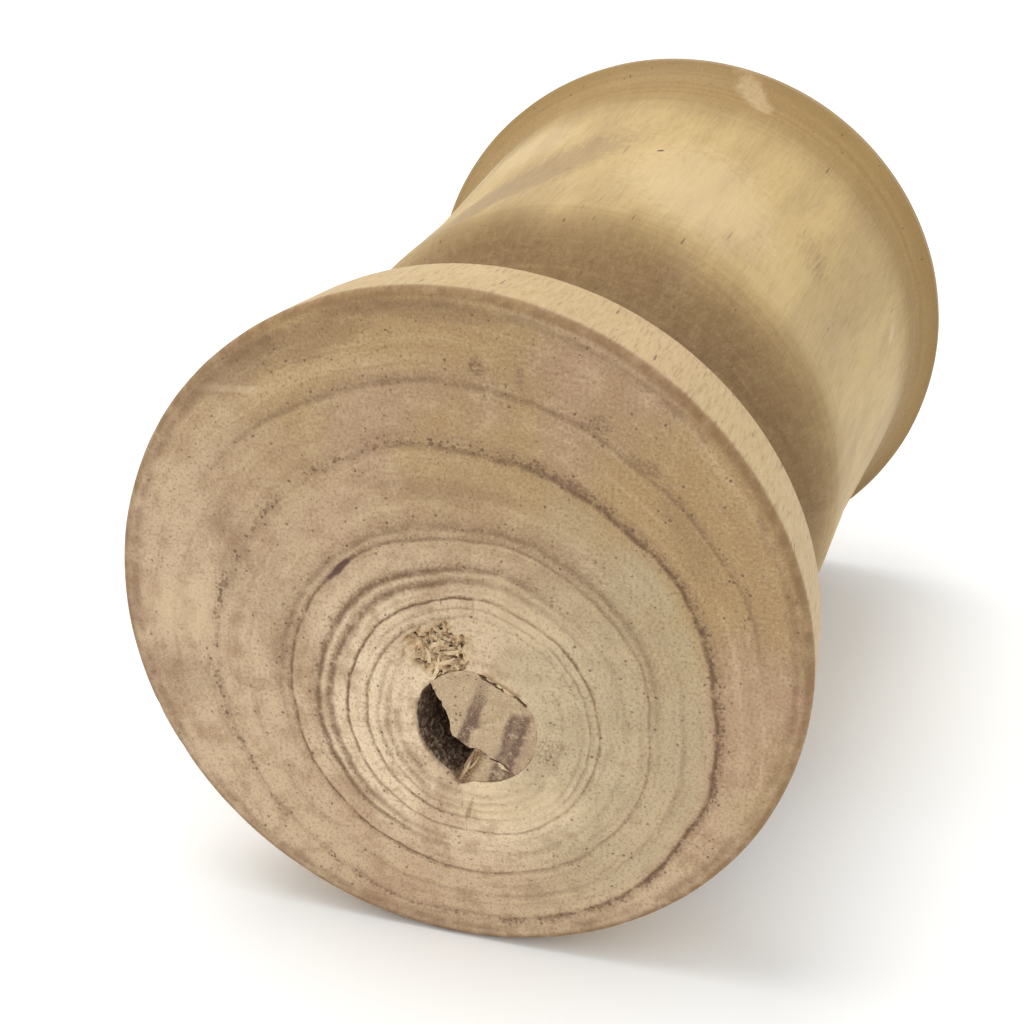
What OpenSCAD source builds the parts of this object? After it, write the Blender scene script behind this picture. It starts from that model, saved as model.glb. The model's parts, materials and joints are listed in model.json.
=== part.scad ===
// Turned wooden spool, lying on its two rims with its axis along Y.
// The origin is on the surface it lies on, under the middle of its length.
// The near end looks along -Y, and the far end along +Y.

/* [Overall size] */
// Diameter of both rims
flange_d = 92; // [88:1:140]
// Length from end face to end face
spool_len = 130; // [100:1:200]

/* [Near flange] */
// Width of the near rim
rim_w = 15; // [8:0.5:20]
// How much smaller the rim's radius is at its back edge
rim_taper = 1.6; // [0:0.1:3]
// Rounding of the edge between the near face and the rim
arris_r = 1.2; // [0.4:0.1:3]
// How much thicker the flange is at its root than at its rim
flange_dish = 3; // [1:0.5:5]

/* [Barrel and neck] */
// Diameter of the barrel
barrel_d = 80; // [66:1:84]
// Diameter of the barrel where it meets the far flange
barrel_end_d = 84.2; // [80:0.2:86]
// Distance from the near face at which the barrel starts to widen
swell_at = 80; // [62:1:86]
// Smallest diameter of the neck behind the near flange
neck_d = 62; // [52:1:62]
// Distance of the neck's lowest point from the near face
neck_at = 27; // [25:0.5:30]
// Radius of the cove that narrows the barrel to the neck
cove_r = 40; // [30:1:44]
// Rounding where the cove meets the barrel
shoulder_r = 18; // [6:0.5:20]

/* [Far flange] */
// Radius of the flare between the barrel and the far rim
flare_r = 10; // [4:0.5:14]
// Width of the far rim
lip_w = 2; // [1:0.5:5]
// Bevel behind the far rim
lip_bevel = 1.2; // [0.4:0.1:2]

/* [Bore] */
// Diameter of the bore for the spindle
bore_d = 16; // [10:0.5:18]
// How far the bore sits under the spool's own axis
bore_drop = 12.8; // [0:0.1:16]
// How far the bore sits to the right of the spool's own axis
bore_right = 3.2; // [-6:0.1:6]

/* [Broken plug] */
// Length of the plug that fills the near end of the bore
plug_len = 22; // [12:1:40]
// How deep the plug's broken end sits in the mouth
plug_recess = 0.6; // [0.2:0.1:2]
// Length of the smaller piece that split off the plug
wedge_len = 14; // [8:1:30]
// How deep the smaller piece sits in the mouth
wedge_recess = 1.4; // [0.4:0.1:3]
// How much wider the bore's mouth, which seats the plug, is than the bore, on radius
seat_step = 0.2; // [0.1:0.05:1]
// How much larger the plug's radius is than its seat's, which holds it
plug_squeeze = 0.04; // [0:0.01:0.08]
// Width of the crack between the two pieces of the plug
crack_gap = 0.3; // [0.15:0.05:0.8]
// Thickness of the slivers caught beside the plug
sliver_t = 0.6; // [0.3:0.1:0.8]
// Length of the slivers caught beside the plug
sliver_len = 6; // [4:0.5:10]

/* [Hidden] */
$fn = 96;

flange_r = flange_d / 2;
barrel_r = barrel_d / 2;
barrel_end_r = barrel_end_d / 2;
neck_r = neck_d / 2;
bore_r = bore_d / 2;
seat_r = bore_r + seat_step;
plug_r = seat_r + plug_squeeze;
seat_len = plug_recess + plug_len;
flange_root = rim_w + flange_dish;
// The shoulder's arc touches both the cove's arc and the barrel's side
cove_x = neck_r + cove_r;
root_r = cove_x - sqrt(pow(cove_r, 2) - pow(neck_at - flange_root, 2));
shoulder_x = barrel_r - shoulder_r;
shoulder_y = neck_at + sqrt(pow(cove_r + shoulder_r, 2) - pow(cove_x - shoulder_x, 2));
touch_y = neck_at + (shoulder_y - neck_at) * cove_r / (cove_r + shoulder_r);
// The flare leaves the barrel's side smoothly and ends at the far rim. On a rim much larger
// than the barrel it turns a full quarter, and a flat face carries on from it.
flare_left = max(barrel_end_r + flare_r - flange_r, 0);
flare_run = sqrt(pow(flare_r, 2) - pow(flare_left, 2));
flare_end = spool_len - lip_w - lip_bevel;
flare_start = flare_end - flare_run;
// Corners of the broken edges, in bore radii from the bore's axis
split_top = [-0.78, 0.72] * bore_r;
split_mid = [-0.42, -0.20] * bore_r;
split_end = [-0.08, -0.42] * bore_r;
split_low = [-0.30, -1.10] * bore_r;
split_side = [1.10, -0.80] * bore_r;
gap_left = [0.02, 0.97] * bore_r;
gap_right = [0.84, 0.54] * bore_r;
eps = 0.01;

// Turns a shape about +Z into the lying position, with its base at the near face
module lay_down() {
    translate([0, -spool_len / 2, flange_r]) rotate([-90, 0, 0]) children();
}

// Puts a shape drawn along +Z on the bore's axis
module on_bore() {
    lay_down() translate([bore_right, bore_drop, 0]) children();
}

// Half section of the near flange, with a rounded arris
module near_flange_section() {
    polygon([[0, 0], [flange_r - arris_r, 0], [flange_r - arris_r, arris_r], [flange_r, arris_r],
             [flange_r - rim_taper, rim_w], [root_r, flange_root], [0, flange_root]]);
    translate([flange_r - arris_r, arris_r]) circle(r = arris_r);
}

// Half section of the barrel, from the near flange's root to the start of the flare
module barrel_section() {
    difference() {
        polygon([[0, flange_root - eps], [barrel_r, flange_root - eps], [barrel_r, swell_at],
                 [barrel_end_r, flare_start + eps], [0, flare_start + eps]]);
        intersection() {
            translate([cove_x, neck_at]) circle(r = cove_r, $fn = 360);
            square([flange_r, touch_y]);
        }
        difference() {
            translate([shoulder_x, touch_y - eps]) square([flange_r, shoulder_y - touch_y + eps]);
            translate([shoulder_x, shoulder_y]) circle(r = shoulder_r, $fn = 180);
        }
    }
}

// Half section of the flare, the far rim and the bevel behind it
module far_flange_section() {
    difference() {
        translate([0, flare_start]) square([flange_r, flare_run + eps]);
        translate([barrel_end_r + flare_r, flare_start]) circle(r = flare_r, $fn = 180);
        translate([barrel_end_r + flare_r, flare_start]) square([flange_r, flare_run]);
    }
    polygon([[0, flare_end], [flange_r, flare_end], [flange_r, flare_end + lip_w],
             [flange_r - lip_bevel, spool_len], [0, spool_len]]);
}

module turned_spool() {
    color("burlywood") difference() {
        lay_down() rotate_extrude() {
            near_flange_section();
            barrel_section();
            far_flange_section();
        }
        on_bore() {
            translate([0, 0, -1]) cylinder(r = bore_r, h = spool_len + 2);
            translate([0, 0, -1]) cylinder(r = seat_r, h = seat_len + 1);
        }
    }
}

// The plug's larger piece: the dowel less the part that broke out on its left and below
module bore_plug() {
    color("tan") on_bore() intersection() {
        translate([0, 0, plug_recess]) cylinder(r = plug_r, h = plug_len);
        linear_extrude(seat_len) mirror([0, 1]) polygon([
            split_top, split_mid, split_end, split_side, [bore_d, 0], gap_right, gap_left,
            [0, bore_d], [-bore_d, bore_d]]);
    }
}

// The smaller piece, split off the plug along a crack
module plug_wedge() {
    color("peru") on_bore() intersection() {
        translate([0, 0, wedge_recess]) cylinder(r = plug_r, h = wedge_len);
        linear_extrude(wedge_recess + wedge_len) mirror([0, 1]) translate([0, -crack_gap]) polygon([
            split_end, split_low, [bore_d, -bore_d], split_side]);
    }
}

// Two pale slivers in the gap between the plug's flat and the wall of the bore
module splinters() {
    flat = gap_right - gap_left;
    flat_angle = atan2(flat[1], flat[0]);
    color("wheat") for (along = [0.34, 0.62]) {
        place = gap_left + flat * along;
        on_bore() mirror([0, 1, 0]) translate([place[0], place[1], plug_recess]) rotate(flat_angle)
            cube([norm(flat) * 0.2, sliver_t, sliver_len]);
    }
}

turned_spool();
bore_plug();
plug_wedge();
splinters();
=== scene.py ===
import json
import math

import bmesh
import bpy
from mathutils import Matrix, Vector, noise


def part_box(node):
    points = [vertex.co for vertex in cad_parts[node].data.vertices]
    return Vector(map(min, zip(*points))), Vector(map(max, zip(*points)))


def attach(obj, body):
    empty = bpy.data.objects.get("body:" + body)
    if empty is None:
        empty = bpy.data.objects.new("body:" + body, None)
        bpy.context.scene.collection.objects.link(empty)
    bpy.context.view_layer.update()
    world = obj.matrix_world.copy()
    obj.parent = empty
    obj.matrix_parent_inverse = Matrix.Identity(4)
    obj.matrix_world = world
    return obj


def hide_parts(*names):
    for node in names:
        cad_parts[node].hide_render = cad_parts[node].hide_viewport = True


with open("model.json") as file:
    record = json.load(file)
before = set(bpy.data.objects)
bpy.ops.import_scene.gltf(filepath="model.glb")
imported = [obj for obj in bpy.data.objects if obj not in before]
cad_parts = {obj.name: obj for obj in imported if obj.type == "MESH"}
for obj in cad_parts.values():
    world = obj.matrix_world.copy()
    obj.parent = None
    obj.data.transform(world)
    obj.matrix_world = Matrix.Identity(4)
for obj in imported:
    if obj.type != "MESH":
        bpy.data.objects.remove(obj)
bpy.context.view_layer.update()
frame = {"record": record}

# ------------------------------------------------------------------ Turned spool
# The body is one billet of pale wood, turned between centres. The pith runs down the
# spindle bore, which is off the turning axis, so the growth rings are eccentric.
MM = 0.001
spool_low, spool_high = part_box("turned_spool")
near_y = spool_low[1]
far_y = spool_high[1]
spool_len = (far_y - near_y) / MM
flange_r = (spool_high[0] - spool_low[0]) / 2 / MM
axis_z = (spool_low[2] + spool_high[2]) / 2
spindle_bore = next(m for m in frame["record"]["mounts"] if m["name"] == "spindle_bore")
bore_x, _, bore_z = spindle_bore["pos_m"]
bore_r = spindle_bore["dims"]["r_mm"]
plug_low, plug_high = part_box("bore_plug")
seat_len = (plug_high[1] - near_y) / MM
seat_r = bore_r + 0.2

# The section, in mm: radius from the turning axis, and distance along it from the near face
rim_w = 15
rim_taper = 1.6
arris_r = 1.2
back_arris_r = 0.8
back_dish = 2.8
neck_r = 31
neck_at = 27
cove_r = 40
shoulder_r = 18
barrel_r = 40
swell_at = 80
barrel_end_r = 42.1
flare_r = 10
lip_w = 2
lip_bevel = 1.2

# The mesh: steps round the spool, a ring of even faces round the near mouth (mm), and how close
# two points are that count as one (m)
around = 256
collar_r = 17
same_place = 1e-6


def arc(radius, along, size, start, end, steps):
    """Points on an arc of the section. Angles are in degrees, 0 outwards and 90 along the axis."""
    angles = [math.radians(start + (end - start) * i / steps) for i in range(steps + 1)]
    return [(radius + size * math.cos(a), along + size * math.sin(a)) for a in angles]


def straight(start, end, steps):
    """Points between two corners of the section, with the corners themselves left out."""
    return [tuple(Vector(start).lerp(Vector(end), i / steps)) for i in range(1, steps)]


def spool_section():
    """The outside of the spool, from the near face's edge to the far face's edge."""
    cove_x = neck_r + cove_r
    shoulder_x = barrel_r - shoulder_r
    reach = cove_r + shoulder_r
    lean = math.degrees(math.acos((cove_x - shoulder_x) / reach))
    shoulder_at = neck_at + reach * math.sin(math.radians(lean))
    root_at = neck_at - rim_w - back_dish
    root = math.degrees(math.asin(root_at / cove_r))
    flare_left = barrel_end_r + flare_r - flange_r
    flare_end = spool_len - lip_w - lip_bevel
    flare_start = flare_end - math.sqrt(flare_r**2 - flare_left**2)
    flare_turn = math.degrees(math.acos(flare_left / flare_r))
    back = (flange_r - rim_taper, rim_w)
    points = arc(flange_r - arris_r, arris_r, arris_r, -90, 0, 6)
    points += straight(points[-1], back, 18)
    points += arc(back[0] - back_arris_r, rim_w - 0.3, back_arris_r, 10, 75, 4)
    cove_start = (cove_x - cove_r * math.cos(math.radians(root)), rim_w + back_dish)
    points += straight(points[-1], cove_start, 14)
    points += arc(cove_x, neck_at, cove_r, 180 + root, 180 - lean, 36)
    points += arc(shoulder_x, shoulder_at, shoulder_r, -lean, 0, 12)[1:]
    points += straight((barrel_r, shoulder_at), (barrel_r, swell_at), 22)
    points += straight((barrel_r, swell_at), (barrel_end_r, flare_start), 36)
    points += arc(barrel_end_r + flare_r, flare_start, flare_r, 180, 180 - flare_turn, 12)
    points += straight(points[-1], (flange_r, flare_end + lip_w), 3)
    points += [(flange_r, flare_end + lip_w - 0.3), (flange_r - 0.3, flare_end + lip_w + 0.2)]
    points += [(flange_r - lip_bevel + 0.1, spool_len - 0.2), (flange_r - lip_bevel - 0.2, spool_len)]
    return points


def spun(bm, points, centre_x, centre_z):
    """Spins a section about a line along Y and returns its first and last rings of edges."""
    line = [bm.verts.new((centre_x + r * MM, near_y + y * MM, centre_z)) for r, y in points]
    edges = [bm.edges.new(pair) for pair in zip(line, line[1:])]
    bmesh.ops.spin(bm, geom=line + edges, cent=(centre_x, 0, centre_z), axis=(0, 1, 0), dvec=(0, 0, 0),
                   angle=2 * math.pi, steps=around, use_merge=True)
    ends = []
    for r, y in (points[0], points[-1]):
        ends.append([e for e in bm.edges if e.is_boundary and all(
            abs(v.co.y - near_y - y * MM) < same_place
            and abs(math.hypot(v.co.x - centre_x, v.co.z - centre_z) - r * MM) < same_place
            for v in e.verts)])
    return ends


def spread(bm, ring, centre, new_centre, new_r, cuts):
    """Widens a ring of edges into a flat ring of faces, out to a circle round another centre."""
    made = bmesh.ops.extrude_edge_only(bm, edges=ring)["geom"]
    outer = [g for g in made if isinstance(g, bmesh.types.BMVert)]
    outer_ring = [g for g in made if isinstance(g, bmesh.types.BMEdge)]
    for vert in outer:
        vert.co = new_centre + (vert.co - centre).normalized() * new_r * MM
    spokes = [e for v in outer for e in v.link_edges if e not in outer_ring]
    bmesh.ops.subdivide_edges(bm, edges=spokes, cuts=cuts, use_grid_fill=True)
    return outer_ring


def bore_section():
    """The bore's wall: a slightly wider seat for the plug, then the running bore."""
    points = [(seat_r, 0)] + straight((seat_r, 0), (seat_r, seat_len), 40) + [(seat_r, seat_len)]
    points += [(bore_r, seat_len)] + straight((bore_r, seat_len), (bore_r, spool_len), 28)
    return points + [(bore_r, spool_len)]


def rough(place, size, seed=0.0, octaves=3):
    """Fractal noise from about -1 to 1 at a place in mm, with lumps of the given size."""
    return noise.fractal(Vector(place) / size + Vector((seed, 7.3 * seed, -seed)), 1.0, 2.1, octaves)


def smooth(value, low, high):
    """0 below low, 1 above high, and a smooth rise between."""
    t = min(max((value - low) / (high - low), 0), 1)
    return t * t * (3 - 2 * t)


# Where fibres have torn out of the face beside the bore, in mm from the bore's axis
torn_x = -4.9
torn_z = 10.5
torn_wide = 4.9
torn_high = 4.1
torn_deep = 1.2

# The mouth isn't quite round: filler stands along the gap at the upper right, its edge is worn
# where the bore stands open on the left, and a flake has broken out where the wedge sits. Clock
# angles are in degrees, 0 to the right and 90 up. Distances are in mm.
filler_clock = 62.3
filler_from_axis = 7.2
open_clock = 195.5
open_wide = 59.5
flake_clock = -105
flake_wide = 15
flake_out = 1.0
mouth_ragged = 0.12

# How deep each kind of wear goes, in mm
handling_deep = 0.03
saw_mark_deep = 0.03
worn_mouth_deep = 0.3
bruise_deep = 0.16
rim_wear_deep = 0.05
rim_wear_wide = 2.6
nick_deep = 0.09
cove_tear_deep = 0.06
cove_pit_deep = 0.14
bore_chatter_deep = 0.12


def torn_amount(x, z):
    """1 in the middle of the torn patch and 0 outside its ragged edge."""
    reach = math.hypot((x - torn_x) / torn_wide, (z - torn_z) / torn_high)
    return 1 - smooth(reach + 0.45 * rough((x, 0, z), 1.5, 3), 0.6, 1.1)


def mouth_shift(co):
    """How far a point near the mouth lies outside the round bore, as a sideways move."""
    x, y, z = (co.x - bore_x) / MM, (co.y - near_y) / MM, (co.z - bore_z) / MM
    from_bore = math.hypot(x, z)
    near_mouth = (1 - smooth(from_bore, seat_r, seat_r + 3)) * (1 - smooth(y, 1.2, 3.5))
    if not near_mouth:
        return Vector((0, 0, 0))
    clock = math.degrees(math.atan2(z, x))
    filler = min(filler_from_axis / max(math.cos(math.radians(clock - filler_clock)), 0.1) - seat_r, 0)
    flake = flake_out * (1 - smooth(abs(clock - flake_clock), 0, flake_wide))
    on_open_side = clock > 130 or clock < -90
    ragged = mouth_ragged * rough((x, y, z), 1.2, 17) if on_open_side else 0
    return Vector((x, 0, z)) / from_bore * (filler + flake + ragged) * near_mouth * MM


def worn(co):
    """How far the surface at a point lies below its turned shape, in mm, how torn and how pitted."""
    x, y, z = co.x / MM, (co.y - near_y) / MM, (co.z - axis_z) / MM
    bx, bz = (co.x - bore_x) / MM, (co.z - bore_z) / MM
    radius = math.hypot(x, z)
    from_bore = math.hypot(bx, bz)
    depth = handling_deep * (1 + rough((x, y, z), 9, 1))
    torn = 0
    pit = 0
    if y < 0.02 and from_bore > bore_r - 1.5:
        torn = torn_amount(bx, bz)
        pit = torn * min(1, 1.5 * abs(rough((x, 0, z * 0.8), 1.1, 5, 4)))
        depth += torn_deep * (0.12 * torn + 0.88 * pit)
        # The mouth's edge is worn where the bore stands open, and bruised beside the filler
        from_open = abs((math.degrees(math.atan2(bz, bx)) - open_clock + 180) % 360 - 180)
        opened = smooth(from_open, open_wide + 3, open_wide - 3)
        at_edge = 1 - smooth(from_bore, seat_r, seat_r + 0.6)
        depth += worn_mouth_deep * opened * at_edge * (1 + rough((x, y, z), 1.5, 2))
        angle = math.radians(filler_clock)
        moved = (co + mouth_shift(co) - Vector((bore_x, near_y, bore_z))) / MM
        beyond = moved.x * math.cos(angle) + moved.z * math.sin(angle) - filler_from_axis
        aside = abs(moved.z * math.cos(angle) - moved.x * math.sin(angle))
        bruise = (1 - smooth(beyond, 0.3, 1.3)) * (1 - smooth(aside, 2.4, 3.6)) if beyond > -0.3 else 0
        depth += bruise_deep * bruise
        # The bruise takes the torn patch's colours, browner with painted shade where it is pitted
        torn = max(torn, 0.9 * bruise)
        pit = max(pit, 0.55 * bruise)
        depth += saw_mark_deep * (1 + math.sin(radius * 2.3 + 2 * rough((x, y, z), 14, 4)))
    if radius > flange_r - rim_wear_wide and y < 3:
        wear = smooth(rough((x, y, z), 11, 8), -0.2, 0.7)
        near_arris = smooth(radius, flange_r - rim_wear_wide, flange_r - 0.5)
        depth += rim_wear_deep * wear * near_arris * (1 - smooth(y, 0.8, 3))
        nick = smooth(rough((x, y, z), 2.2, 11), 0.5, 0.9)
        depth += nick_deep * nick * (1 - smooth(y, 0.5, 2.2))
    if from_bore > bore_r + 1:
        tear = smooth(y, rim_w + 1, rim_w + 5) * (1 - smooth(y + 5 * rough((x, 0, z), 16, 13), 40, 52))
        depth += tear * (cove_tear_deep + cove_pit_deep * abs(rough((x, y * 0.6, z), 1.3, 15, 4)))
    elif y > 0.02:
        depth += bore_chatter_deep * abs(rough((bx, y / 3, bz), 0.9, 19, 4))
    return max(depth, 0), torn, pit


def turned_spool_mesh():
    """The whole spool as one closed surface, worn and torn, with both masks kept on its points."""
    bm = bmesh.new()
    section = spool_section()
    spun(bm, section, 0, axis_z)
    near_mouth, far_mouth = spun(bm, bore_section(), bore_x, bore_z)
    near_bore = Vector((bore_x, near_y, bore_z))
    far_bore = Vector((bore_x, far_y, bore_z))
    collar = spread(bm, near_mouth, near_bore, near_bore, collar_r, 34)
    spread(bm, collar, near_bore, Vector((0, near_y, axis_z)), section[0][0], 34)
    spread(bm, far_mouth, far_bore, Vector((0, far_y, axis_z)), section[-1][0], 22)
    bmesh.ops.remove_doubles(bm, verts=bm.verts, dist=same_place)
    bmesh.ops.recalc_face_normals(bm, faces=bm.faces)
    bm.normal_update()
    torn_layer = bm.verts.layers.float.new("torn")
    pit_layer = bm.verts.layers.float.new("pit")
    for vert in bm.verts:
        depth, vert[torn_layer], vert[pit_layer] = worn(vert.co)
        vert.co += mouth_shift(vert.co) - vert.normal * depth * MM
    return bm


# Edges that turn by more than this many degrees stay crisp
sharp_from = 38


def piece_from(bm, name, material, smooth_faces=True):
    """Makes an object from a finished bmesh and gives it its material."""
    for face in bm.faces:
        face.smooth = smooth_faces
    mesh = bpy.data.meshes.new(name)
    bm.to_mesh(mesh)
    bm.free()
    mesh.set_sharp_from_angle(angle=math.radians(sharp_from))
    mesh.materials.append(material)
    piece = bpy.data.objects.new(name, mesh)
    bpy.context.scene.collection.objects.link(piece)
    return piece


def srgb(red, green, blue):
    """A colour given in 0 to 255 screen values, as the linear colour that shaders use."""
    def linear(value):
        value /= 255
        return value / 12.92 if value <= 0.04045 else ((value + 0.055) / 1.055) ** 2.4
    return (linear(red), linear(green), linear(blue), 1)


class Finish:
    """One procedural material, and short calls that add its nodes."""

    def __init__(self, name):
        self.material = bpy.data.materials.new(name)
        self.material.use_nodes = True
        self.nodes = self.material.node_tree.nodes
        self.links = self.material.node_tree.links
        self.shader = self.nodes["Principled BSDF"]

    def feed(self, socket, value):
        """Gives a socket another node's output, or a plain value."""
        if isinstance(value, bpy.types.NodeSocket):
            self.links.new(value, socket)
        else:
            socket.default_value = value

    def math(self, operation, a, b=0.0, c=0.0):
        node = self.nodes.new("ShaderNodeMath")
        node.operation = operation
        for socket, value in zip(node.inputs, (a, b, c)):
            self.feed(socket, value)
        return node.outputs[0]

    def vector(self, operation, a, b=(0, 0, 0)):
        """Gives a number for a length or a dot product, and a vector for the rest."""
        node = self.nodes.new("ShaderNodeVectorMath")
        node.operation = operation
        self.feed(node.inputs[0], a)
        self.feed(node.inputs[3 if operation == "SCALE" else 1], b)
        return node.outputs["Value" if operation in ("LENGTH", "DOT_PRODUCT") else "Vector"]

    def parts(self, vector):
        node = self.nodes.new("ShaderNodeSeparateXYZ")
        self.feed(node.inputs[0], vector)
        return node.outputs

    def joined(self, x, y, z):
        node = self.nodes.new("ShaderNodeCombineXYZ")
        for socket, value in zip(node.inputs, (x, y, z)):
            self.feed(socket, value)
        return node.outputs[0]

    def attribute(self, name):
        """A number kept on the piece's points."""
        node = self.nodes.new("ShaderNodeAttribute")
        node.attribute_name = name
        return node.outputs["Fac"]

    def grain(self, place, across, along):
        """A place in mm, scaled for a pattern with lumps so many mm across and along the axis."""
        return self.vector("MULTIPLY", place, (1 / across, 1 / along, 1 / across))

    def noise(self, place, detail=3.0, roughness=0.5, w=None, coloured=False):
        """Smooth random values about 0.5, or three of them if coloured. They vary with w too."""
        node = self.nodes.new("ShaderNodeTexNoise")
        self.feed(node.inputs["Vector"], place)
        if w is not None:
            node.noise_dimensions = "4D"
            self.feed(node.inputs["W"], w)
        node.inputs["Scale"].default_value = 1
        node.inputs["Detail"].default_value = detail
        node.inputs["Roughness"].default_value = roughness
        return node.outputs["Color" if coloured else "Fac"]

    def cells(self, place):
        """The distance to the nearest of many scattered points, and that point's random colour."""
        node = self.nodes.new("ShaderNodeTexVoronoi")
        self.feed(node.inputs["Vector"], place)
        node.inputs["Scale"].default_value = 1
        return node.outputs["Distance"], node.outputs["Color"]

    def rise(self, value, low, high, bottom=0.0, top=1.0):
        """A smooth step from bottom to top as value goes from low to high."""
        node = self.nodes.new("ShaderNodeMapRange")
        node.interpolation_type = "SMOOTHSTEP"
        for socket, given in zip(node.inputs, (value, low, high, bottom, top)):
            self.feed(socket, given)
        return node.outputs[0]

    def band(self, value, middle, half, soft=0.0):
        """1 within half of the middle, then falling to 0 over soft (or over half, if soft is 0)."""
        away = self.math("ABSOLUTE", self.math("SUBTRACT", value, middle))
        if soft:
            return self.rise(away, half, half + soft, 1.0, 0.0)
        return self.rise(away, 0.0, half, 1.0, 0.0)

    def mix(self, amount, a, b):
        """Colour a at 0 and colour b at 1."""
        node = self.nodes.new("ShaderNodeMix")
        node.data_type = "RGBA"
        self.feed(node.inputs[0], amount)
        self.feed(node.inputs[6], a)
        self.feed(node.inputs[7], b)
        return node.outputs[2]

    def times(self, *values):
        result = values[0]
        for value in values[1:]:
            result = self.math("MULTIPLY", result, value)
        return result

    def plus(self, *values):
        result = values[0]
        for value in values[1:]:
            result = self.math("ADD", result, value)
        return result

    def millimetres(self, centre):
        """Object coordinates in mm from a centre given in metres."""
        coordinates = self.nodes.new("ShaderNodeTexCoord")
        mapping = self.nodes.new("ShaderNodeMapping")
        self.feed(mapping.inputs["Vector"], coordinates.outputs["Object"])
        mapping.inputs["Location"].default_value = [-c / MM for c in centre]
        mapping.inputs["Scale"].default_value = (1 / MM, 1 / MM, 1 / MM)
        return mapping.outputs[0]

    def bump(self, height, distance, strength, normal=None):
        """Shades a relief of the given distance in mm, on top of another one if it is given."""
        node = self.nodes.new("ShaderNodeBump")
        node.inputs["Strength"].default_value = strength
        node.inputs["Distance"].default_value = distance * MM
        self.feed(node.inputs["Height"], height)
        if normal:
            self.feed(node.inputs["Normal"], normal)
        return node.outputs[0]


# Colours of the spool's wood
outer_dark = srgb(165, 136, 100)
outer_pale = srgb(202, 174, 142)
heart_dark = srgb(203, 178, 145)
heart_pale = srgb(233, 208, 175)
patch_brown = srgb(166, 133, 104)
mottle_brown = srgb(156, 124, 90)
mottle_cream = srgb(208, 182, 144)
ochre_tint = srgb(172, 141, 92)
pink_tint = srgb(184, 148, 120)
green_tint = srgb(184, 169, 134)
ring_shade = srgb(156, 124, 94)
ring_light = srgb(212, 184, 146)
rim_honey = srgb(196, 167, 117)
honey_pale = srgb(196, 167, 107)
honey_dark = srgb(177, 148, 93)
# The flare's browns: the turning's lines, with painted shade in the concave flare
shaded_flare_pale = srgb(158, 127, 75)
shaded_flare_dark = srgb(140, 110, 63)
halo_brown = srgb(142, 108, 80)
fuzz_brown = srgb(126, 95, 70)
line_brown = srgb(98, 69, 42)
pore_brown = srgb(96, 70, 52)
fibre_dark = srgb(136, 104, 74)
fibre_pale = srgb(222, 197, 158)
dash_brown = srgb(142, 108, 68)
# The cove's two browns: its torn grain, with painted shade that is darkest at the neck
cove_deep_shade = srgb(88, 62, 38)
cove_brown = srgb(126, 97, 60)
arris_brown = srgb(134, 102, 66)
# Painted shade for a patchy band just inside the near face's rim
rim_edge_shade = srgb(118, 88, 60)
bore_dark = srgb(82, 59, 46)
bore_pale = srgb(206, 182, 156)
frayed_dark = srgb(176, 142, 102)
frayed_pale = srgb(226, 196, 152)
# The pits' brown: torn fibre, with painted shade in the hollows
pit_brown_and_shade = srgb(112, 80, 54)
# Real stains, and the painted shade on the barrel's flanks, share this brown
stain_and_shade_brown = srgb(122, 92, 66)
scuff_pale = srgb(222, 196, 156)
mineral_streak = srgb(92, 62, 54)

# Where the wood's colour changes along the spool, and where the shade painted into the cove and the
# flare fades, in mm from the near face
near_end_fades = (0.3, 1.6)
cove_dark_fades = (51, 69)
side_begins = (44, 58)
flare_begins = (107, 126)

# Growth rings that show as lines: radius from the pith, half width of the crisp line and of the
# soft shade round it (mm), strength, the clock angle (degrees, 0 to the right, 90 up) where the
# line is strongest, and what is left of it on the opposite side (below 0 it ends sooner)
GROWTH_RINGS = [
    (10.4, 0.45, 1.0, 0.30, -115, 0.05),
    (11.9, 0.35, 0.8, 0.40, -120, 0.08),
    (13.1, 0.20, 0.6, 0.35, -140, 0.10),
    (14.6, 0.15, 0.5, 0.65, 190, 0.25),
    (15.7, 0.13, 0.4, 0.40, 40, 0.15),
    (17.0, 0.15, 0.4, 1.00, 110, 0.55),
    (19.2, 0.40, 0.9, 0.80, 150, 0.10),
    (20.8, 0.35, 1.1, 0.90, 160, 0.12),
    (24.4, 0.17, 0.7, 0.85, 195, 0.50),
    (25.6, 0.35, 1.3, 0.50, 95, 0.02),
    (29.0, 0.30, 1.0, 0.20, -60, 0.05),
    (33.3, 0.28, 1.5, 1.00, 8, 0.22),
    (39.6, 0.25, 1.0, 0.45, 80, -5.0),
]

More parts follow.
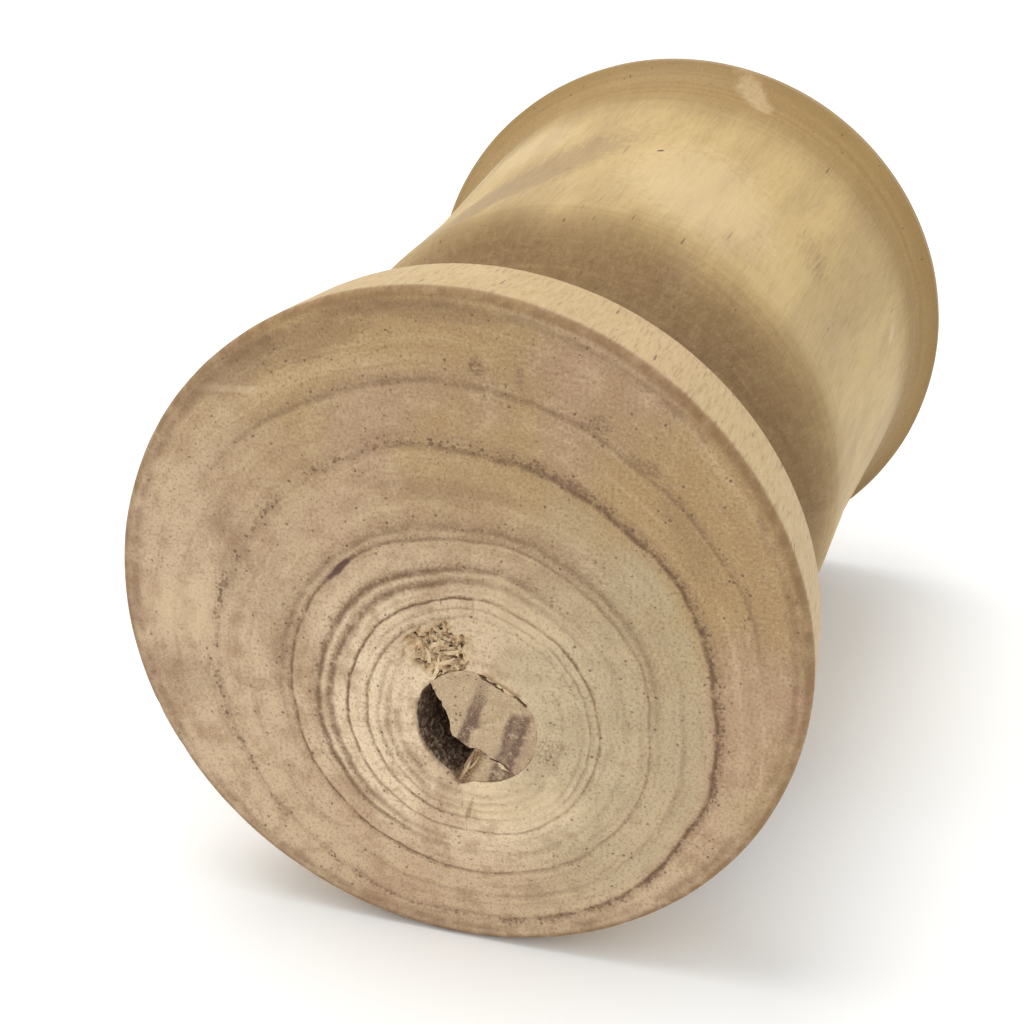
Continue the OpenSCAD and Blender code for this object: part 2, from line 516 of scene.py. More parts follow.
# Stains and scuffs on the near face: place from the turning axis and half size (mm), turn
# (degrees), how dark it goes (below 0 it is lighter, and 1 is a dark mineral streak), and how far
# it breaks up into specks
FACE_STAINS = [
    (-37.2, -1.5, 5.5, 5.0, 3, -0.35, 0.3),
    (-24.0, -1.0, 3.5, 10.0, 0, 0.25, 0.3),
    (8.0, -23.5, 10.0, 4.5, 10, -0.45, 0.2),
    (9.0, 4.5, 8.0, 3.5, -35, -0.30, 0.2),
    (-38.5, -12.0, 6.5, 5.0, 5, 0.32, 0.4),
    (-29.0, 30.2, 5.5, 0.6, 4, -0.45, 0.3),
    (-28.0, 33.0, 9.0, 3.0, 38, 0.45, 0.3),
    (-18.0, 37.5, 10.0, 2.6, 24, 0.40, 0.3),
    (-3.0, 43.0, 13.0, 1.5, 0, 0.40, 0.4),
    (3.7, 36.7, 1.2, 1.3, 0, 0.9, 0.9),
    (9.0, 36.0, 0.7, 1.6, 0, 0.6, 0.9),
    (19.0, 31.2, 2.4, 1.3, -10, 0.6, 0.8),
    (24.5, 26.6, 2.6, 1.2, -25, 0.6, 0.8),
    (15.5, 23.0, 2.6, 0.8, -20, 0.7, 0.8),
    (-14.9, 7.3, 3.0, 0.55, 48, 1.0, 0.1),
    (30.0, 18.0, 9.0, 2.4, -62, 0.35, 0.7),
    (0.0, 20.0, 9.0, 2.0, 0, 0.30, 0.5),
    (-30.0, 8.0, 3.0, 9.0, 10, 0.25, 0.4),
    (13.0, -14.5, 2.6, 2.2, 0, 0.5, 0.95),
    (2.2, -25.6, 0.4, 2.0, -15, 0.6, 0.6),
]

# The same for the barrel and flare, where the last five rows are painted shade: distance round from the
# top, and along from the near face
BARREL_STAINS_AND_SHADE = [
    (-13.3, 76.5, 30.0, 7.0, 59, 0.38, 0.15),
    (-20.0, 100.0, 9.0, 12.0, 10, -0.25, 0.1),
    (14.0, 78.0, 14.0, 20.0, 20, -0.30, 0.1),
    (4.3, 89.2, 0.8, 0.35, 50, 1.0, 0.1),
    (11.5, 123.6, 5.2, 2.2, -43, -0.38, 0.3),
    (54.6, 105.0, 1.0, 3.0, 20, -0.35, 0.3),
    (34.0, 84.0, 4.0, 7.0, 25, 0.30, 0.95),
    (26.0, 64.0, 9.0, 4.0, -20, 0.14, 0.6),
    # Painted shade: broad darker bands down both flanks and under the barrel, where it turns from the
    # light
    (44.0, 78.0, 16.0, 4.0, 80, 0.16, 0.6),
    (-60.0, 82.0, 24.0, 5.0, 78, 0.22, 0.6),
    (-95.0, 90.0, 28.0, 6.0, 84, 0.20, 0.6),
    (85.0, 88.0, 26.0, 5.0, 98, 0.22, 0.6),
    (110.0, 78.0, 24.0, 6.0, 86, 0.18, 0.6),
]


def concentric_wood(wood, from_pith, y):
    """The eccentric growth rings: radius from the pith, clock direction, and slow drift."""
    stretched = wood.grain(from_pith, 16, 70)
    drift = wood.vector("SUBTRACT", wood.noise(stretched, 1.0, coloured=True), (0.5, 0.5, 0.5))
    fine = wood.grain(from_pith, 2.8, 50)
    wobble = wood.vector("SUBTRACT", wood.noise(fine, 2.0, coloured=True), (0.5, 0.5, 0.5))
    moved = wood.vector("ADD", wood.vector("SCALE", drift, 2.4), wood.vector("SCALE", wobble, 0.6))
    flat = wood.vector("MULTIPLY", wood.vector("ADD", from_pith, moved), (1, 0, 1))
    # The rings spread up and to the left, and the tree tapers along the billet
    lean = wood.math("DIVIDE", wood.vector("DOT_PRODUCT", flat, (-0.41, 0, 0.91)), flange_r)
    growth = wood.math("DIVIDE", wood.vector("LENGTH", flat), wood.math("MULTIPLY_ADD", lean, 0.2, 1.0))
    return wood.math("MULTIPLY_ADD", y, 0.045, growth), wood.vector("NORMALIZE", flat), drift


def ring_lines(wood, growth, towards, broken, speckle):
    """Masks of the crisp ring lines, of the soft shade outside them, and of its fuzzy specks."""
    line = 0.0
    halo = 0.0
    for ring_r, crisp, soft, strength, clock, left_over in GROWTH_RINGS:
        angle = math.radians(clock)
        facing = wood.vector("DOT_PRODUCT", towards, (math.cos(angle), 0, math.sin(angle)))
        shown = wood.times(wood.rise(facing, -0.5, 0.8, left_over, 1.0), strength)
        this_line = wood.times(wood.band(growth, ring_r, crisp * 2.0), shown)
        this_halo = wood.times(wood.band(growth, ring_r + soft * 0.3, soft), shown)
        line = wood.math("MAXIMUM", this_line, line)
        halo = wood.math("MAXIMUM", this_halo, halo)
    line = wood.times(line, wood.rise(broken, 0.36, 0.52, 0.3, 1.0))
    fuzz = wood.times(halo, wood.rise(wood.plus(speckle, wood.times(broken, 0.6)), 0.70, 1.0))
    return line, halo, fuzz


def stained_and_shaded(wood, colour, place, where, speckle, stains):
    """Adds stains, scuffs and painted shade at places on a flat or unrolled surface."""
    ragged = wood.noise(wood.vector("SCALE", place, 1 / 1.8), 4.0, 0.65)
    for across, up, wide, high, turn, dark, specks in stains:
        angle = math.radians(turn)
        away = wood.vector("SUBTRACT", place, (across, 0, up))
        run = wood.vector("DOT_PRODUCT", away, (math.cos(angle) / wide, 0, math.sin(angle) / wide))
        climb = wood.vector("DOT_PRODUCT", away, (-math.sin(angle) / high, 0, math.cos(angle) / high))
        # 1 at the edge of the stain's ellipse, before its edge is made ragged
        reach = wood.vector("LENGTH", wood.joined(run, 0.0, climb))
        reach = wood.math("MULTIPLY_ADD", wood.math("SUBTRACT", ragged, 0.5), 1.5, reach)
        broken_up = wood.rise(speckle, 0.35, 0.62, 1 - specks, 1.0)
        amount = wood.times(wood.rise(reach, 0.5, 1.15, abs(dark), 0.0), broken_up, where)
        tint = stain_and_shade_brown if dark > 0 else scuff_pale
        if dark == 1:
            tint = mineral_streak
        colour = wood.mix(amount, colour, tint)
    return colour


def body_wood():
    """Pale open-pored wood: eccentric rings and dots on the ends, streaks along the sides."""
    wood = Finish("body_wood")
    from_pith = wood.millimetres((bore_x, near_y, bore_z))
    x, y, z = wood.parts(from_pith)
    growth, towards, drift = concentric_wood(wood, from_pith, y)
    slow = wood.parts(drift)[2]
    spool_x = wood.math("ADD", x, bore_x / MM)
    spool_z = wood.math("ADD", z, (bore_z - axis_z) / MM)
    spool_r = wood.vector("LENGTH", wood.joined(spool_x, 0.0, spool_z))
    on_near = wood.rise(y, *near_end_fades, 1.0, 0.0)
    on_far = wood.rise(y, spool_len - 1.0, spool_len - 0.4)
    on_end = wood.math("MAXIMUM", on_near, on_far)
    turned = wood.noise(wood.grain(from_pith, 40, 0.9), 4.0, 0.65)
    edge_of_cove = wood.plus(y, wood.times(slow, 16), wood.times(turned, 13))
    behind_rim = wood.rise(y, rim_w + 0.5, rim_w + 3)
    in_cove = wood.times(behind_rim, wood.rise(edge_of_cove, *cove_dark_fades, 1.0, 0.0))
    flare_at = wood.plus(y, wood.times(slow, 14), wood.times(turned, 5))
    in_flare = wood.times(wood.rise(flare_at, *flare_begins), wood.math("SUBTRACT", 1.0, on_far))

    # Broad patches of colour: paler towards the heart and low on the left
    broad_patch = wood.noise(wood.grain(from_pith, 20, 90), 2.0)
    small_patch = wood.noise(wood.grain(from_pith, 9, 55), 3.0, 0.6)
    low_left = wood.vector("DOT_PRODUCT", wood.joined(spool_x, 0.0, spool_z), (-0.012, 0, -0.019))
    outer = wood.mix(wood.rise(low_left, -0.9, 0.5), outer_dark, outer_pale)
    inner = wood.mix(wood.rise(low_left, -0.3, 0.35), heart_dark, heart_pale)
    heart_to_rim = wood.rise(wood.plus(growth, wood.times(small_patch, 5)), 19.0, 28.0)
    colour = wood.mix(heart_to_rim, inner, outer)
    colour = wood.mix(wood.rise(small_patch, 0.46, 0.66, 0.0, 0.6), colour, patch_brown)
    mottle = wood.noise(wood.grain(from_pith, 3.2, 18), 4.0, 0.65)
    colour = wood.mix(wood.rise(mottle, 0.48, 0.66, 0.0, 0.5), colour, mottle_brown)
    colour = wood.mix(wood.rise(mottle, 0.50, 0.34, 0.0, 0.4), colour, mottle_cream)
    ochre = wood.times(wood.rise(broad_patch, 0.62, 0.42), wood.rise(low_left, 0.3, -0.5))
    ochre = wood.times(ochre, wood.rise(growth, 22, 34))
    colour = wood.mix(wood.times(ochre, 0.7), colour, ochre_tint)
    pink = wood.times(wood.rise(broad_patch, 0.5, 0.7), wood.rise(growth, 20, 30))
    colour = wood.mix(wood.times(pink, 0.45), colour, pink_tint)
    right_side = wood.rise(wood.parts(towards)[0], 0.0, 0.8)
    green = wood.times(right_side, wood.rise(growth, 33.4, 31.0))
    green = wood.times(green, wood.rise(small_patch, 0.3, 0.6, 0.5, 1.0))
    colour = wood.mix(wood.times(green, on_near, 0.65), colour, green_tint)

    # Fine concentric shading between the rings
    arcs = wood.vector("SCALE", towards, 1.1)
    across_rings = wood.math("MULTIPLY_ADD", y, 0.004, wood.times(growth, 0.8))
    fine_rings = wood.noise(arcs, 4.0, 0.62, w=across_rings)
    plain = wood.math("MULTIPLY_ADD", in_cove, -0.8, 1.0)
    shade = wood.rise(fine_rings, 0.5, 0.72, 0.0, 0.45)
    colour = wood.mix(wood.times(shade, plain), colour, ring_shade)
    light = wood.rise(fine_rings, 0.5, 0.28, 0.0, 0.40)
    colour = wood.mix(wood.times(light, plain), colour, ring_light)

    # Tints that go with where the surface is on the spool
    rim = wood.rise(spool_r, flange_r - 2.8, flange_r - 1.4)
    rim = wood.times(rim, wood.rise(y, rim_w + 1, rim_w - 1))
    rim = wood.times(rim, wood.rise(y, 0.8, 2.2))
    colour = wood.mix(wood.times(rim, 0.75), colour, rim_honey)
    side = wood.times(wood.rise(y, *side_begins), wood.math("SUBTRACT", 1.0, on_far))
    honey = wood.mix(wood.rise(small_patch, 0.35, 0.6), honey_pale, honey_dark)
    colour = wood.mix(wood.times(side, 0.8), colour, honey)
    # Darker in the flare towards the far flange: the turning's lines, and painted shade in the concave
    # curve
    flare = wood.mix(wood.rise(turned, 0.25, 0.75), shaded_flare_pale, shaded_flare_dark)
    colour = wood.mix(wood.times(in_flare, 0.85), colour, flare)

    # The ring lines themselves, crisp in the middle and fuzzy outside, broken along their length
    broken = wood.noise(wood.grain(from_pith, 2.4, 40), 4.0, 0.65)
    speckle = wood.noise(wood.grain(from_pith, 0.4, 6), 2.0, 0.6)
    line, halo, fuzz = ring_lines(wood, growth, towards, broken, speckle)
    colour = wood.mix(wood.times(halo, 0.32), colour, halo_brown)
    colour = wood.mix(wood.times(fuzz, 0.7), colour, fuzz_brown)
    colour = wood.mix(wood.times(line, 0.9), colour, line_brown)

    # Pores: dots on the ends, thin streaks along the sides, thickest beside the rings
    pore_away, pore_kind = wood.cells(wood.grain(from_pith, 0.5, 8))
    chance, spread_of, depth_of = wood.parts(pore_kind)
    row = wood.times(wood.band(growth, 33.6, 0.9), 0.6)
    row = wood.times(row, on_near, wood.rise(mottle, 0.40, 0.52))
    wanted = wood.plus(0.05, wood.times(halo, 0.55), wood.rise(broken, 0.50, 0.75, 0.0, 0.45), row)
    wanted = wood.times(wanted, wood.math("MULTIPLY_ADD", side, -0.75, 1.0))
    size = wood.plus(wood.rise(spread_of, 0.0, 1.0, 0.08, 0.30), wood.times(row, 0.5))
    hole = wood.rise(pore_away, size, wood.plus(size, 0.18), 1.0, 0.0)
    pore = wood.times(wood.math("LESS_THAN", chance, wanted), hole)
    pore = wood.times(pore, wood.rise(depth_of, 0.0, 1.0, 0.3, 1.0))
    colour = wood.mix(wood.times(pore, 0.8), colour, pore_brown)

    # Fine fibre: mealy on the ends, streaked along the sides
    fibre = wood.noise(wood.grain(from_pith, 0.42, 7), 4.0, 0.75)
    strong = wood.plus(1.0, wood.times(side, -0.7), wood.times(in_cove, -0.3), wood.times(rim, -0.4))
    dark_fibre = wood.rise(fibre, 0.49, 0.68, 0.0, 0.7)
    colour = wood.mix(wood.times(dark_fibre, strong), colour, fibre_dark)
    pale_fibre = wood.rise(fibre, 0.5, 0.28, 0.0, 0.35)
    colour = wood.mix(wood.times(pale_fibre, strong), colour, fibre_pale)
    dashes = wood.noise(wood.grain(from_pith, 0.36, 9), 3.0, 0.6)
    dashes = wood.times(rim, wood.rise(dashes, 0.54, 0.70), wood.rise(mottle, 0.35, 0.6, 0.2, 1.0))
    colour = wood.mix(wood.times(dashes, 0.45), colour, dash_brown)
    colour = stained_and_shaded(wood, colour, wood.joined(spool_x, 0.0, spool_z), on_near, speckle, FACE_STAINS)
    unrolled = wood.times(wood.math("ARCTAN2", spool_x, spool_z), barrel_r)
    colour = stained_and_shaded(wood, colour, wood.joined(unrolled, 0.0, y), side, speckle, BARREL_STAINS_AND_SHADE)

    # Torn wood in the cove, with painted shade that is deepest at the neck beside the near flange, and
    # a darker brown arris round the near face
    torn_streaks = wood.noise(wood.grain(from_pith, 1.2, 4), 4.0, 0.7)
    torn_and_shaded_cove = wood.times(in_cove, wood.rise(torn_streaks, 0.25, 0.65, 0.65, 1.0))
    torn_and_shaded_cove = wood.times(torn_and_shaded_cove, wood.rise(turned, 0.3, 0.6, 0.75, 1.0))
    cove = wood.mix(wood.rise(y, 26, 46), cove_deep_shade, cove_brown)
    colour = wood.mix(wood.times(torn_and_shaded_cove, 0.92), colour, cove)
    arris = wood.times(wood.rise(spool_r, flange_r - 1.5, flange_r - 0.6), wood.rise(y, 1.6, 0.6))
    colour = wood.mix(wood.times(arris, wood.rise(broken, 0.35, 0.6, 0.45, 0.9)), colour, arris_brown)
    # A patchy darker band just inside the rim: painted shade where the face's edge falls away
    inside_rim = wood.times(wood.band(spool_r, flange_r - 1.9, 1.3), on_near)
    inside_rim = wood.times(inside_rim, wood.rise(small_patch, 0.3, 0.55))
    patchy_edge_shade = wood.times(inside_rim, wood.rise(broken, 0.3, 0.6, 0.15, 0.55))
    colour = wood.mix(patchy_edge_shade, colour, rim_edge_shade)
    from_bore = wood.vector("LENGTH", wood.joined(x, 0.0, z))
    in_bore = wood.times(wood.rise(from_bore, bore_r + 1.0, bore_r + 0.5), wood.rise(y, 0.2, 1.0))
    chatter = wood.noise(wood.grain(from_pith, 0.5, 0.9), 4.0, 0.75)
    bore_wall = wood.mix(wood.rise(chatter, 0.44, 0.66), bore_dark, bore_pale)
    colour = wood.mix(wood.times(in_bore, 0.95), colour, bore_wall)
    torn = wood.attribute("torn")
    frayed = wood.noise(wood.vector("SCALE", from_pith, 1 / 0.5), 4.0, 0.7)
    frayed = wood.mix(wood.rise(frayed, 0.38, 0.62), frayed_dark, frayed_pale)
    # Browner in the pits: the torn fibre's own colour, with painted shade in the hollows
    frayed = wood.mix(wood.rise(wood.attribute("pit"), 0.25, 0.75), frayed, pit_brown_and_shade)
    colour = wood.mix(wood.times(torn, 0.9), colour, frayed)
    wood.feed(wood.shader.inputs["Base Color"], colour)

    # Satin where the tool burnished it, dull where the grain tore
    dull = wood.plus(0.52, wood.times(in_cove, 0.25), wood.times(wood.rise(fibre, 0.4, 0.8), 0.12))
    wood.feed(wood.shader.inputs["Roughness"], wood.math("ADD", dull, wood.times(on_end, 0.14)))
    wood.shader.inputs["Specular IOR Level"].default_value = 0.35
    relief = wood.plus(wood.times(fibre, 0.5), wood.times(pore, -0.8), wood.times(line, -0.4))
    fine = wood.bump(relief, 0.12, 0.6)
    tear = wood.times(in_cove, wood.noise(wood.grain(from_pith, 0.7, 1.3), 5.0, 0.7))
    wood.feed(wood.shader.inputs["Normal"], wood.bump(tear, 0.6, 0.8, fine))
    return wood.material


spool = piece_from(turned_spool_mesh(), "turned_body", body_wood())
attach(spool, "root")
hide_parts("turned_spool")

# ------------------------------------------------------------------ Bore plug
# A length of dowel driven into the bore's mouth and cut flush. Part of it has broken out on the
# left, and what is left shows two dark bands of its own grain.

# Its outline, from the break round to the gap, in mm to the right of and above the bore's axis
break_line = [(-6.2, 5.9), (-5.5, 4.2), (-4.7, 3.0), (-3.9, 1.2)]
break_line += [(-3.5, 0.4), (-3.3, -1.7), (-2.2, -2.4), (-0.7, -3.4)]
crack_line = [(0.6, -3.3), (1.9, -4.3), (3.4, -4.7), (4.6, -5.6)]
gap_line = [(6.9, 4.2), (6.4, 4.2), (5.4, 5.0), (4.2, 5.6), (2.4, 6.4), (0.9, 7.2), (0.3, 7.9)]
plug_recess = (plug_low[1] - near_y) / MM
fit_r = seat_r - 0.01

# How the broken ends are cut into rows to be roughened, and how rough the torn sides are, in mm
cut_apart = 0.4
cuts_each_way = 20
cut_depths = (0.25, 0.6, 1.1, 1.8, 3, 5, 8)
side_fray = 0.22

# The rough relief sinks the ends, so they start this far above where they come to lie. The plug
# stops a little short of its seat's end.
plug_start = 0.6
wedge_start = 1.2
short_of_seat = 0.2


def round_side(start, end, steps):
    """Points on the dowel's round side between two clock angles."""
    return arc(0, 0, fit_r, start, end, steps)


def split_dowel(outline, top, bottom, seed):
    """A piece of the broken dowel: its outline, drawn down the bore, with fibrous torn sides."""
    bm = bmesh.new()
    corners = [bm.verts.new((bore_x + x * MM, near_y + top * MM, bore_z + z * MM)) for x, z in outline]
    cap = bm.faces.new(corners)
    body = bmesh.ops.extrude_face_region(bm, geom=[cap])["geom"]
    for vert in [g for g in body if isinstance(g, bmesh.types.BMVert)]:
        vert.co.y = near_y + bottom * MM
    rows = range(-cuts_each_way, cuts_each_way + 1)
    cuts = [((bore_x + i * cut_apart * MM, 0, 0), (1, 0, 0)) for i in rows]
    cuts += [((0, 0, bore_z + i * cut_apart * MM), (0, 0, 1)) for i in rows]
    cuts += [((0, near_y + (top + step) * MM, 0), (0, 1, 0)) for step in cut_depths]
    for place, facing in cuts:
        whole = bm.verts[:] + bm.edges[:] + bm.faces[:]
        bmesh.ops.bisect_plane(bm, geom=whole, plane_co=place, plane_no=facing)
    for vert in bm.verts:
        x, y, z = (vert.co.x - bore_x) / MM, (vert.co.y - near_y) / MM, (vert.co.z - bore_z) / MM
        if y > bottom - 0.1:
            continue
        if y < top + 0.01:
            inner = smooth(math.hypot(x, z), fit_r, fit_r - 1)
            vert.co.y += MM * (0.08 + 0.10 * inner * (1 + rough((x, 0, z), 1.1, seed, 4)))
        if math.hypot(x, z) < fit_r - 0.15:
            jag = 1 - smooth(y, top + 4, top + 8)
            vert.co.x += side_fray * jag * MM * rough((x, y / 5, z), 0.8, seed + 2)
            vert.co.z += side_fray * jag * MM * rough((x, y / 5, z), 0.8, seed + 4)
    bmesh.ops.recalc_face_normals(bm, faces=bm.faces)
    return bm


# Colours of the dowel's wood
dowel_dark = srgb(184, 159, 126)
dowel_pale = srgb(200, 174, 140)
dowel_rose = srgb(166, 134, 112)
band_brown = srgb(92, 64, 56)
speck_brown = srgb(110, 86, 66)
dowel_cream = srgb(218, 194, 158)
grit_brown = srgb(134, 106, 80)
torn_brown = srgb(112, 78, 48)
# Painted shade for the dowel's sides deep in the bore
bore_depth_shade = srgb(112, 80, 52)


def dowel_wood():
    """Cut end grain of the dowel, with two dark bands across it, and torn fibre down its sides."""
    wood = Finish("dowel_wood")
    place = wood.millimetres((bore_x, near_y, bore_z))
    y = wood.parts(place)[1]
    wander = wood.noise(wood.vector("SCALE", place, 1 / 2.5), 3.0, 0.6)
    across = wood.vector("DOT_PRODUCT", place, (0.95, 0, -0.30))
    across = wood.math("MULTIPLY_ADD", wood.math("SUBTRACT", wander, 0.5), 1.6, across)
    grit = wood.noise(wood.grain(place, 0.28, 5), 3.0, 0.7)
    colour = wood.mix(wood.rise(wander, 0.35, 0.65), dowel_dark, dowel_pale)
    up = wood.parts(place)[2]
    left_band = wood.times(wood.band(across, -0.8, 0.5, 0.9), wood.rise(up, 6.5, 1.0, 0.35, 1.0))
    right_band = wood.times(wood.band(across, 5.0, 0.8, 1.0), wood.rise(up, 3.4, 2.2))
    bands = wood.math("MAXIMUM", left_band, right_band)
    bands = wood.times(bands, wood.rise(grit, 0.32, 0.58, 0.58, 1.0))
    bands = wood.times(bands, wood.math("MULTIPLY_ADD", wood.band(across, 4.9, 0.2, 0.5), -0.2, 1.0))
    colour = wood.mix(wood.rise(across, 5.4, 6.6, 0.0, 0.45), colour, dowel_rose)
    colour = wood.mix(wood.times(bands, 0.95), colour, band_brown)
    away, kind = wood.cells(wood.grain(place, 0.55, 6))
    chosen = wood.math("LESS_THAN", wood.parts(kind)[0], 0.22)
    specks = wood.times(chosen, wood.rise(away, 0.15, 0.4, 1.0, 0.0))
    colour = wood.mix(wood.times(specks, wood.rise(across, 0.5, -1.5, 0.35, 0.8)), colour, speck_brown)
    pale = wood.noise(wood.vector("SCALE", place, 1 / 0.9), 4.0, 0.7)
    colour = wood.mix(wood.rise(pale, 0.5, 0.68, 0.0, 0.5), colour, dowel_cream)
    colour = wood.mix(wood.rise(grit, 0.47, 0.68, 0.0, 0.6), colour, grit_brown)
    inward = wood.math("SUBTRACT", wood.vector("DOT_PRODUCT", place, (0.899, 0, -0.438)), 1.2)
    torn_edge = wood.times(wood.rise(inward, 2.3, 0.9), wood.rise(up, -3.2, -4.0))
    colour = wood.mix(wood.times(torn_edge, wood.rise(grit, 0.3, 0.6, 0.45, 1.0)), colour, torn_brown)
    # Darker further down the bore: painted shade on the dowel's sides
    deep = wood.rise(y, plug_recess + 0.3, plug_recess + 2.2)
    colour = wood.mix(wood.times(deep, 0.75), colour, bore_depth_shade)
    wood.feed(wood.shader.inputs["Base Color"], colour)
    wood.feed(wood.shader.inputs["Roughness"], wood.rise(grit, 0.2, 0.8, 0.65, 0.85))
    wood.shader.inputs["Specular IOR Level"].default_value = 0.3
    relief = wood.plus(grit, wood.times(specks, -1.0))
    wood.feed(wood.shader.inputs["Normal"], wood.bump(relief, 0.15, 0.7))
    return wood.material


plug_finish = dowel_wood()
plug_outline = break_line + crack_line + round_side(-50, 33, 18)
plug_outline += gap_line + round_side(87, 136, 12)[1:-1]
plug_mesh = split_dowel(plug_outline, plug_recess - plug_start, seat_len - short_of_seat, 21)
plug = piece_from(plug_mesh, "dowel_plug", plug_finish)
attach(plug, "root")
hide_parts("bore_plug")

# ------------------------------------------------------------------ Plug wedge
# A splinter of the same dowel that split off along a crack and dropped a little. Its left edge
# is torn, and the fibres that stand up there are made with the splinters.
wedge_low, wedge_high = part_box("plug_wedge")
wedge_top = (wedge_low[1] - near_y) / MM
wedge_bottom = (wedge_high[1] - near_y) / MM
wedge_outline = [(-0.3, -3.5), (-0.9, -4.9), (-1.6, -6.2), (-2.2, -7.6), (-2.3, -8.8), (-0.6, -8.75)]
wedge_outline += round_side(-88, -52, 10) + [(4.7, -5.9), (3.4, -5.0), (1.9, -4.6), (0.7, -3.65)]
wedge_mesh = split_dowel(wedge_outline, wedge_top - wedge_start, wedge_bottom, 31)
wedge = piece_from(wedge_mesh, "dowel_wedge", plug_finish)
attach(wedge, "root")
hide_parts("plug_wedge")

# ------------------------------------------------------------------ Splinters
# Loose fibres that the saw and the broken plug left: pale slivers in the gap beside the plug,
# thin ones along the wedge and the crack, and a frayed tuft where the face tore out.
splinter_brown = srgb(136, 104, 74)
splinter_cream = srgb(230, 205, 164)
splinter_grit = srgb(150, 116, 84)
tuft_count = 150
tuft_spread = 0.85

# The larger ones: place to the right of and above the bore's axis, length and thickness (mm), turn
# (degrees), and shade from brown at 0 to cream at 1
SLIVERS = [
    (3.25, 6.50, 0.9, 0.65, -28, 1.0),
    (4.35, 5.75, 1.7, 0.70, -36, 1.0),
    (2.0, 7.2, 1.2, 0.30, -25, 0.5),
    (-5.3, 8.0, 2.9, 0.70, 78, 1.0),
    (-4.0, 8.9, 2.6, 0.60, 28, 0.9),
    (-3.2, 10.4, 2.2, 0.70, 18, 0.8),
    (-6.5, 9.4, 2.2, 0.80, 105, 0.85),
    (-5.4, 11.2, 2.0, 0.80, 40, 0.9),
    (-1.5, 8.9, 1.8, 0.35, 45, 0.1),
    (-1.0, -4.9, 3.0, 0.50, 62, 0.1),
    (-1.3, -6.1, 2.8, 0.45, 67, 0.6),
    (-1.9, -7.2, 2.4, 0.50, 72, 0.2),
    (-0.3, -5.4, 2.6, 0.40, 58, 0.4),
    (3.6, -5.4, 1.7, 0.60, -38, 0.95),
    (2.5, -4.8, 1.3, 0.35, -22, 0.3),
]


def sliver(bm, shade, place, along, long, thick, pale):
    """One splinter: a thin, flat, four-sided spike, tapered to both ends, ragged and a little bent."""
    along = Vector(along).normalized()
    inward = (Vector((0, 1, 0)) - along * along.y).normalized()
    turn = Matrix((inward.cross(along), inward, along)).transposed()
    before = len(bm.verts)
    made = bmesh.ops.create_cone(bm, cap_ends=True, segments=4, radius1=thick * MM * 0.25,
                                 radius2=thick * MM * 0.12, depth=long * MM)["verts"]
    half = long * MM * 0.5
    sides = {e for v in made for e in v.link_edges if abs(e.verts[0].co.z - e.verts[1].co.z) > half}
    bmesh.ops.subdivide_edges(bm, edges=list(sides), cuts=3, use_grid_fill=True)
    # The cone's two blunt ends stay as they are, and swell thickens it between them
    for vert in list(bm.verts)[before:]:
        height = vert.co.z / (long * MM)
        swell = 1 if abs(height) > 0.49 else 2.6 - 3.0 * abs(height)
        vert.co.x = vert.co.x * swell + 0.06 * long * MM * (1 - 4 * height**2)
        vert.co.y *= swell * 0.6
        vert.co += noise.random_unit_vector() * 0.08 * thick * MM
        vert.co = turn @ vert.co + Vector(place)
        vert.co.y = max(vert.co.y, near_y + 0.01 * MM)
        vert[shade] = pale


def splinters():
    """The larger slivers one by one, then the tuft's fibres scattered over the torn patch."""
    bm = bmesh.new()
    shade = bm.verts.layers.float.new("shade")
    for x, z, long, thick, clock, pale in SLIVERS:
        angle = math.radians(clock)
        along = (math.cos(angle), 0.03, math.sin(angle))
        depth = 0.02 + 0.42 * thick + 0.02 * long
        place = (bore_x + x * MM, near_y + depth * MM, bore_z + z * MM)
        sliver(bm, shade, place, along, long, thick, pale)
    for _ in range(tuft_count):
        spot = 2 * math.pi * noise.random()
        out = noise.random() ** 0.6
        x = torn_x + out * math.cos(spot) * torn_wide * tuft_spread
        z = torn_z + out * math.sin(spot) * torn_high * tuft_spread
        lean = noise.random_unit_vector()
        along = (0.3 + 0.7 * lean.x, 0.3 * lean.y, 0.3 + 0.7 * lean.z)
        long = 0.5 + 1.1 * noise.random()
        thick = 0.28 + 0.50 * noise.random()
        depth = 0.05 + 0.5 * thick + 0.25 * long * abs(lean.y) + 0.35 * noise.random()
        place = (bore_x + x * MM, near_y + depth * MM, bore_z + z * MM)
        sliver(bm, shade, place, along, long, thick, 0.05 + 0.85 * noise.random())
    bmesh.ops.recalc_face_normals(bm, faces=bm.faces)
    return bm


def splinter_wood():
    """Fresh torn fibre: each splinter has its own shade, from brown to cream."""
    wood = Finish("splinter_wood")
    place = wood.millimetres((bore_x, near_y, bore_z))
    grit = wood.noise(wood.vector("SCALE", place, 1 / 0.3), 3.0, 0.6)
    colour = wood.mix(wood.attribute("shade"), splinter_brown, splinter_cream)
    colour = wood.mix(wood.rise(grit, 0.4, 0.75, 0.0, 0.5), colour, splinter_grit)
    wood.feed(wood.shader.inputs["Base Color"], colour)
    wood.feed(wood.shader.inputs["Roughness"], wood.rise(grit, 0.2, 0.8, 0.55, 0.8))
    wood.feed(wood.shader.inputs["Normal"], wood.bump(grit, 0.08, 0.6))
    return wood.material


# The same random draws at each run
noise.seed_set(7)
loose = piece_from(splinters(), "loose_splinters", splinter_wood(), smooth_faces=False)
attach(loose, "root")
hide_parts("splinters")

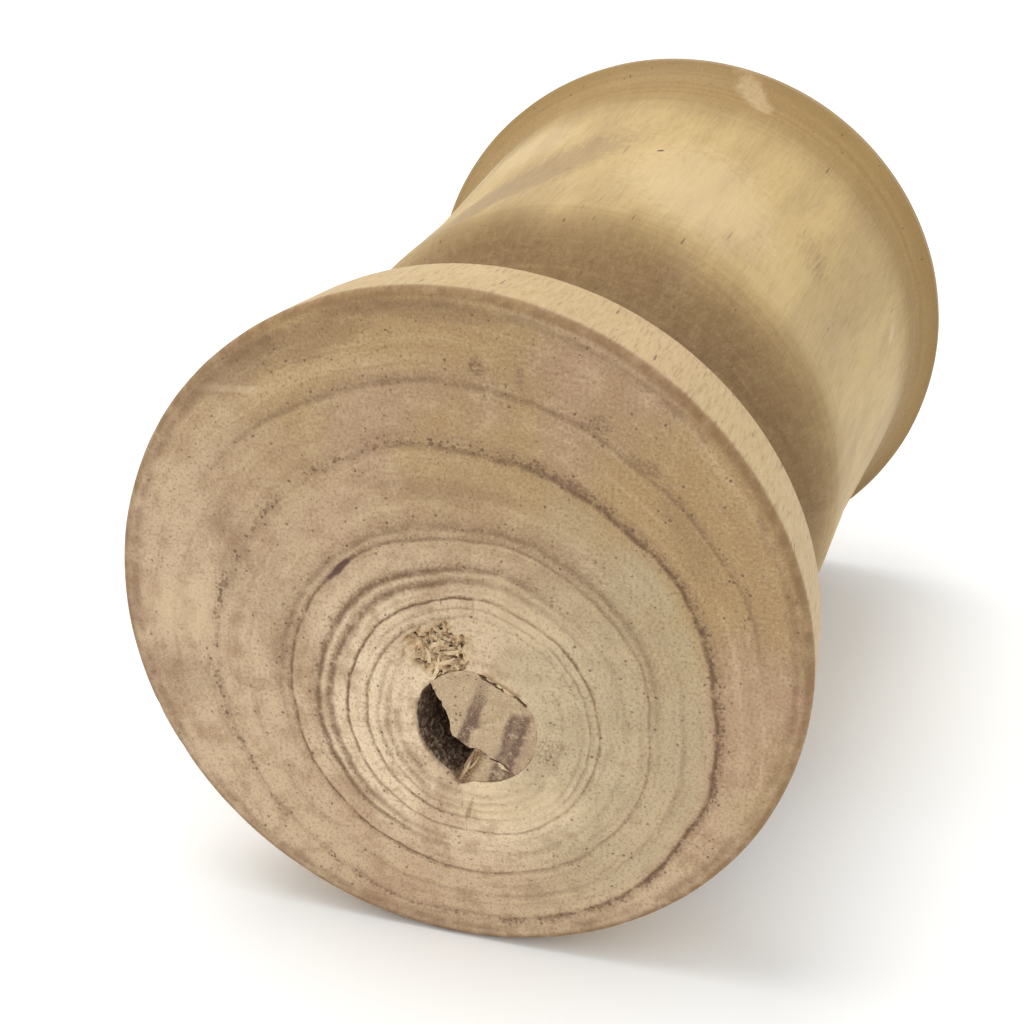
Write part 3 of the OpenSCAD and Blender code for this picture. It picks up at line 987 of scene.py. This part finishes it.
# ------------------------------------------------------------------ Floor, light and camera
# A sheet of white paper under a large soft light from the upper left, seen from in front and
# above. The room's own light fills the shadows.
floor_half = 3
paper_white = srgb(250, 250, 249)
paper_shade = srgb(247, 247, 246)
sheet = bmesh.new()
bmesh.ops.create_grid(sheet, x_segments=2, y_segments=2, size=floor_half)
paper = Finish("floor_paper")
cloudy = paper.noise(paper.vector("SCALE", paper.millimetres((0, 0, 0)), 1 / 40), 2.0)
paper.feed(paper.shader.inputs["Base Color"], paper.mix(cloudy, paper_white, paper_shade))
paper.shader.inputs["Roughness"].default_value = 0.9
paper.shader.inputs["Specular IOR Level"].default_value = 0.1
piece_from(sheet, "floor", paper.material)

room_white = (0.965, 0.985, 1, 1)
room_strength = 0.95
world = bpy.data.worlds.new("soft_room")
world.use_nodes = True
room = world.node_tree.nodes["Background"]
room.inputs["Color"].default_value = room_white
room.inputs["Strength"].default_value = room_strength
bpy.context.scene.world = world


def soft_light(name, place, aim, width, watts, colour):
    """A round soft lamp of the given width in metres, aimed at a place."""
    lamp = bpy.data.lights.new(name, "AREA")
    lamp.shape = "DISK"
    lamp.size = width
    lamp.energy = watts
    lamp.color = colour
    holder = bpy.data.objects.new(name, lamp)
    holder.location = place
    holder.rotation_euler = (Vector(aim) - Vector(place)).to_track_quat("-Z", "Y").to_euler()
    bpy.context.scene.collection.objects.link(holder)


key_at = (-0.30, 0.02, 1.2)
key_aim = (0, 0, 0.04)
key_colour = (1, 0.99, 0.97)
soft_light("key_light", key_at, key_aim, width=0.9, watts=7.2, colour=key_colour)

camera_at = (0.07455, -0.27668, 0.16791)
camera_looks = (-0.27141, 0.86474, -0.42257)
camera = bpy.data.objects.new("camera", bpy.data.cameras.new("camera"))
camera.location = camera_at
camera.rotation_euler = Vector(camera_looks).to_track_quat("-Z", "Y").to_euler()
camera.data.lens = 70.95
camera.data.sensor_width = 36
bpy.context.scene.collection.objects.link(camera)
bpy.context.scene.camera = camera
bpy.context.scene.view_settings.view_transform = "Standard"
